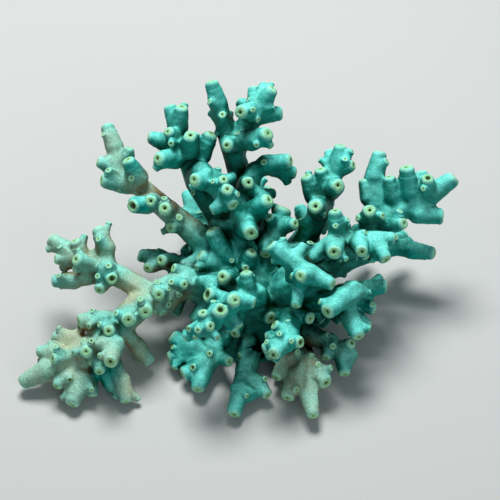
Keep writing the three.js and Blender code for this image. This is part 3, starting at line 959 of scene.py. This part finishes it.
# Rust brown in the forks of sandy limbs: partly their real rust, partly painted shade where the limbs crowd.
RUST_AND_SHADE = (0.27, 0.105, 0.028, 1)
DISC = (0.32, 0.62, 0.28, 1)
RIM = (0.40, 0.88, 0.70, 1)
# Painted shade in the pits: a dark olive laid in each mouth's hole and in the fine trough round it.
PIT_SHADE_PAINT = (0.085, 0.11, 0.035, 1)
FINISH = {"Specular IOR Level": 0.07, "Sheen Weight": 0.02, "Sheen Roughness": 0.45}
FINISH["Sheen Tint"] = (0.55, 1.0, 0.95, 1)


print("turquoise stops:", len(LAGOON))

# %% [markdown]
# The nodes are joined in the order in which the colours lie on the coral: mottled skin, painted top light on
# the faces turned up, what has turned sandy, painted shade where the limbs crowd, and last the mouths. A fine
# grain covers it all.

# %% Mix the skin
def grey(value):
    """A colour with the same share of red, green and blue."""
    return (value, value, value)


def skin_material():
    """Turquoise living skin, steered by the numbers kept on the mesh."""
    material = bpy.data.materials.new("living_skin")
    material.use_nodes = True
    tree = material.node_tree
    shader = tree.nodes["Principled BSDF"]
    link = tree.links.new

    def node(kind, **settings):
        """A new node with some of its settings."""
        made = tree.nodes.new(kind)
        for name, value in settings.items():
            setattr(made, name, value)
        return made

    def number(name):
        """A number kept on the mesh's points."""
        return node("ShaderNodeAttribute", attribute_name=name).outputs["Fac"]

    def noise(scale, detail):
        """Noise that stays on the object. A scale of 1000 makes it a millimetre wide."""
        made = node("ShaderNodeTexNoise")
        made.inputs["Scale"].default_value = scale
        made.inputs["Detail"].default_value = detail
        link(place, made.inputs["Vector"])
        return made.outputs["Fac"]

    def ramp(value, *stops):
        """A colour for each value, blended between stops."""
        made = node("ShaderNodeValToRGB")
        link(value, made.inputs["Fac"])
        elements = made.color_ramp.elements
        while len(elements) < len(stops):
            elements.new(0.5)
        for element, (position, colour) in zip(elements, stops):
            element.position = position
            element.color = (*colour, 1)
        return made.outputs["Color"]

    def mix(share, first, second, blend="MIX"):
        """Two colours mixed. Each argument is a plain value or another node's output."""
        made = node("ShaderNodeMix", data_type="RGBA", blend_type=blend)
        for socket, value in ((0, share), (6, first), (7, second)):
            if hasattr(value, "is_linked"):
                link(value, made.inputs[socket])
            else:
                made.inputs[socket].default_value = value
        return made.outputs[2]

    place = node("ShaderNodeTexCoord").outputs["Object"]
    mottle, grain = noise(380, 5), noise(2300, 3)
    colour = ramp(mottle, *LAGOON)
    # Painted top light: faces turned up are painted paler, broken up by the mottling.
    facing_up = ramp(number("painted_top_light"), (0.56, grey(0)), (0.98, grey(1)))
    broken_up = ramp(mottle, (0.25, grey(0.45)), (0.65, grey(1)))
    painted_top_light = mix(1.0, facing_up, broken_up, "MULTIPLY")
    colour = mix(painted_top_light, colour, TOP_LIGHT_PAINT)
    colour = mix(number("warmth"), colour, SANDY)
    # Colour of the painted shade: deep green, and rust brown on sandy limbs, where it is partly their real
    # rust.
    shade = mix(ramp(number("warmth"), (0.2, grey(0)), (0.6, grey(1))), SHADED, RUST_AND_SHADE)
    # Painted shade: the less open a point, the more of the painted shade colour it takes.
    colour = mix(ramp(number("open"), (0.20, grey(1)), (0.76, grey(0))), colour, shade)
    colour = mix(number("rim"), colour, RIM)
    colour = mix(number("disc"), colour, DISC)
    # Painted shade in each mouth's pit.
    colour = mix(number("pit"), colour, PIT_SHADE_PAINT)
    specks = ramp(grain, (0.36, grey(0.80)), (0.52, grey(1.0)), (0.68, grey(1.22)))
    link(mix(1.0, colour, specks, "MULTIPLY"), shader.inputs["Base Color"])
    link(ramp(mottle, (0.2, grey(0.42)), (0.8, grey(0.62))), shader.inputs["Roughness"])
    for name, value in FINISH.items():
        shader.inputs[name].default_value = value
    bump = node("ShaderNodeBump")
    bump.inputs["Strength"].default_value = 0.6
    bump.inputs["Distance"].default_value = 0.12 * MM
    link(grain, bump.inputs["Height"])
    link(bump.outputs["Normal"], shader.inputs["Normal"])
    return material


skin = skin_material()
print("skin nodes:", len(skin.node_tree.nodes))

# %% [markdown]
# ## The pieces
# Every limb's share of the body and its mouths go into one mesh, which rides on the colony's one body and
# stands for the imported rod. Where two pieces meet, both have the same points and are given the same normals,
# those of the undivided body, so the skin shows no line there.

# %% Gather the parts of a limb
# Shares of rim colour, disc colour and painted pit shade on a mouth's last rows:
# shoulder, disc, ring, throat and pole.
MOUTH_SHARES = (
    (0, 0.08, 0.28, 0.60, 0.55, 0.30, 0.10, 0, 0.10, 0, 0, 0, 0),
    (0, 0, 0, 0.12, 0.45, 0.70, 0.80, 0.85, 0.75, 0.6, 0.3, 0, 0),
    (0, 0, 0, 0, 0, 0, 0, 0.22, 0.05, 0.35, 0.85, 1, 1),
)
PATCHES = ((9.0, 1.0, 31), (4.2, 0.4, 32))  # size, strength and seed of each
MOST_SANDY = 0.85


def warmth_at(points):
    """Sandy tint: the loss of colour, broken up into patches a few millimetres wide."""
    patches = sum(height * lattice_noise(points, size, seed) for size, height, seed in PATCHES)
    return np.clip(sample(lost_colour, points, COARSE) * (0.6 + 0.8 * patches), 0, MOST_SANDY)


def painted_top_light_at(normals, open_share):
    """Share of painted top light: how far a point faces the light from above, less where it is shut in."""
    return np.clip((0.5 + 0.5 * normals[:, 2]) * (0.35 + 0.65 * open_share), 0, 1)


def mouth_part(k):
    """Points, quads, triangles, normals and three colour shares (rim, disc, painted pit shade) of one mouth.
    """
    grids, faces = (big_grids, big_faces) if is_tip[k] else (small_grids, small_faces)
    grid = grids[k if is_tip[k] else k - len(tips)]
    points = mouth_points(grid, k)
    quads, triangles = faces
    seen = quads[HIDDEN_ROWS * grid.shape[1]:]
    split = np.concatenate([seen[:, [0, 1, 2]], seen[:, [0, 2, 3]], triangles[grid.shape[1]:]])
    normals = point_normals(points, split)
    hidden = slice(0, HIDDEN_ROWS * grid.shape[1])
    normals[hidden] = np.tile(normals[hidden.stop : hidden.stop + grid.shape[1]], (HIDDEN_ROWS, 1))
    row = np.append(np.repeat(np.arange(ROWS), grid.shape[1]), [0, ROWS])
    rim, disc, pit = (np.interp(row, np.arange(ROWS - 12, ROWS + 1), shares) for shares in MOUTH_SHARES)
    return points, quads, triangles, normals, rim, disc, pit


def limb_parts(number):
    """Every part of one limb: its share of the body, the fans that close it, and its mouths."""
    keep = face_owner == number
    used = np.unique(body_faces[keep])
    points, quads = kept_points(body_points, body_faces, keep)
    none = np.zeros(len(used))
    yield points, quads, np.empty((0, 3), int), body_normals[used], none, none, none, body_open[used]
    middle, fan = rim_fans(points, quads)
    if len(middle):
        none = np.zeros(len(middle))
        up = np.tile([0.0, 0, 1], (len(middle), 1))
        yield middle, np.empty((0, 4), int), fan - len(points), up, none, none, none, none
    for k in np.flatnonzero(mouth_owner == number):
        part = mouth_part(k)
        yield *part, openness(part[0], part[3])


print("mouths on each limb:", np.bincount(mouth_owner, minlength=len(names)))

# %% [markdown]
# The parts are joined end to end, with each part's corner numbers raised by the points that come before it.
# The numbers that steer the colour go on the mesh's points, and the normals are given.

# %% Make a piece for each node
def faces_mesh(name, points, quads, triangles):
    """A mesh of quads and triangles, filled in whole arrays."""
    mesh = bpy.data.meshes.new(name)
    mesh.vertices.add(len(points))
    mesh.vertices.foreach_set("co", points.ravel())
    loops = np.concatenate([quads.ravel(), triangles.ravel()])
    starts = np.concatenate([np.arange(len(quads)) * 4, len(quads) * 4 + np.arange(len(triangles)) * 3])
    mesh.loops.add(len(loops))
    mesh.loops.foreach_set("vertex_index", loops)
    mesh.polygons.add(len(starts))
    mesh.polygons.foreach_set("loop_start", starts)
    mesh.update(calc_edges=True)
    mesh.shade_smooth()
    return mesh


def limb_piece(number, name):
    """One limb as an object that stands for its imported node."""
    parts = list(limb_parts(number))
    first = np.cumsum([0] + [len(part[0]) for part in parts])
    points, quads, triangles, normals, rim, disc, pit, open_share = (
        np.concatenate([part[i] + (first[n] if i in (1, 2) else 0) for n, part in enumerate(parts)])
        for i in range(8)
    )
    mesh = faces_mesh(name + "_skin", np.clip(points * MM, cad_low, cad_high), quads, triangles)
    # Openness sets how much painted shade a point gets, and the pit share paints shade into each mouth's pit.
    numbers = {"rim": rim, "disc": disc, "pit": pit, "open": open_share}
    # The painted top light: how far each point faces up to the light, less where it is shut in.
    numbers |= {"warmth": warmth_at(points), "painted_top_light": painted_top_light_at(normals, open_share)}
    for key, values in numbers.items():
        layer = mesh.attributes.new(key, "FLOAT", "POINT")
        layer.data.foreach_set("value", values.astype(np.float32))
    mesh.normals_split_custom_set_from_vertices(normals)
    mesh.materials.append(skin)
    piece = bpy.data.objects.new(name + "_skin", mesh)
    bpy.context.scene.collection.objects.link(piece)
    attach(piece, "root")
    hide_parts(name)
    return piece


pieces = [limb_piece(number, name) for number, name in enumerate(names)]
totals = [sum(len(polygon.vertices) - 2 for polygon in piece.data.polygons) for piece in pieces]
print("pieces:", len(pieces), "triangles:", sum(totals), "largest:", max(totals))

# %% [markdown]
# ## The colony's size against the imported box
# The visual colony should stay inside the imported model's box, so how far it grows past that box on each side
# is printed.

# %% Write the sizes and finish
visual_box = [np.array(corner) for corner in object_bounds()]
grown = np.concatenate([cad_low - visual_box[0], visual_box[1] - cad_high])
print("grown past the box by, in mm:", np.round(grown * 1000, 2))
